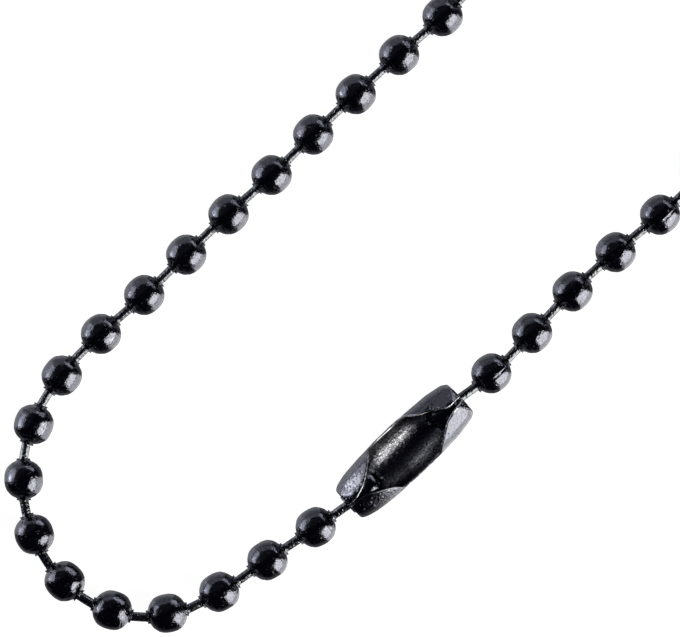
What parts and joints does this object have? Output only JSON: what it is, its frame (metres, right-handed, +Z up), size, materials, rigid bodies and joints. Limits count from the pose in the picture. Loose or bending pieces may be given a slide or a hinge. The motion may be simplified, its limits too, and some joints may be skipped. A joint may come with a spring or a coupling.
{
  "type": "ball chain",
  "caption": "Closed loop of black ball chain laid flat as a hairpin: hollow beads joined by dumbbell links, snapped shut by a rolled sheet coupling with an open mouth.",
  "frame": {"origin": "on the floor under the middle of the loop, the centre of the bounding box's bottom", "axes": "+X along the coupling and the two strands, +Y across the loop from the coupling's strand to the other, +Z up"},
  "size_m": [0.0578, 0.021, 0.0033],
  "materials": {
    "bead_black": "glossy blue-black lacquer with fine pits",
    "link_black": "glossy black, worn brighter along its sides",
    "coupling_black": "glossy blue-black lacquer with fine pits, rougher inside"
  },
  "bodies": {
    "root": {"coupling": "coupling_black", "bead_01": "bead_black", "bead_02": "bead_black", "bead_03": "bead_black", "bead_04": "bead_black", "bead_05": "bead_black", "bead_06": "bead_black", "bead_07": "bead_black", "bead_08": "bead_black", "bead_09": "bead_black", "bead_10": "bead_black", "bead_11": "bead_black", "bead_12": "bead_black", "bead_13": "bead_black", "bead_14": "bead_black", "bead_15": "bead_black", "bead_16": "bead_black", "bead_17": "bead_black", "bead_18": "bead_black", "bead_19": "bead_black", "bead_20": "bead_black", "bead_21": "bead_black", "bead_22": "bead_black", "bead_23": "bead_black", "bead_24": "bead_black", "bead_25": "bead_black", "bead_26": "bead_black", "far_beads_1": "bead_black", "far_beads_2": "bead_black", "far_beads_3": "bead_black", "far_beads_4": "bead_black", "far_link_1": "link_black", "far_link_2": "link_black", "far_link_3": "link_black", "link_01": "link_black", "link_02": "link_black", "link_03": "link_black", "link_04": "link_black", "link_05": "link_black", "link_06": "link_black", "link_07": "link_black", "link_08": "link_black", "link_09": "link_black", "link_10": "link_black", "link_11": "link_black", "link_12": "link_black", "link_13": "link_black", "link_14": "link_black", "link_15": "link_black", "link_16": "link_black", "link_17": "link_black", "link_18": "link_black", "link_19": "link_black", "link_20": "link_black", "link_21": "link_black", "link_22": "link_black", "link_23": "link_black", "link_24": "link_black", "link_25": "link_black", "link_26": "link_black"}
  },
  "joints": []
}
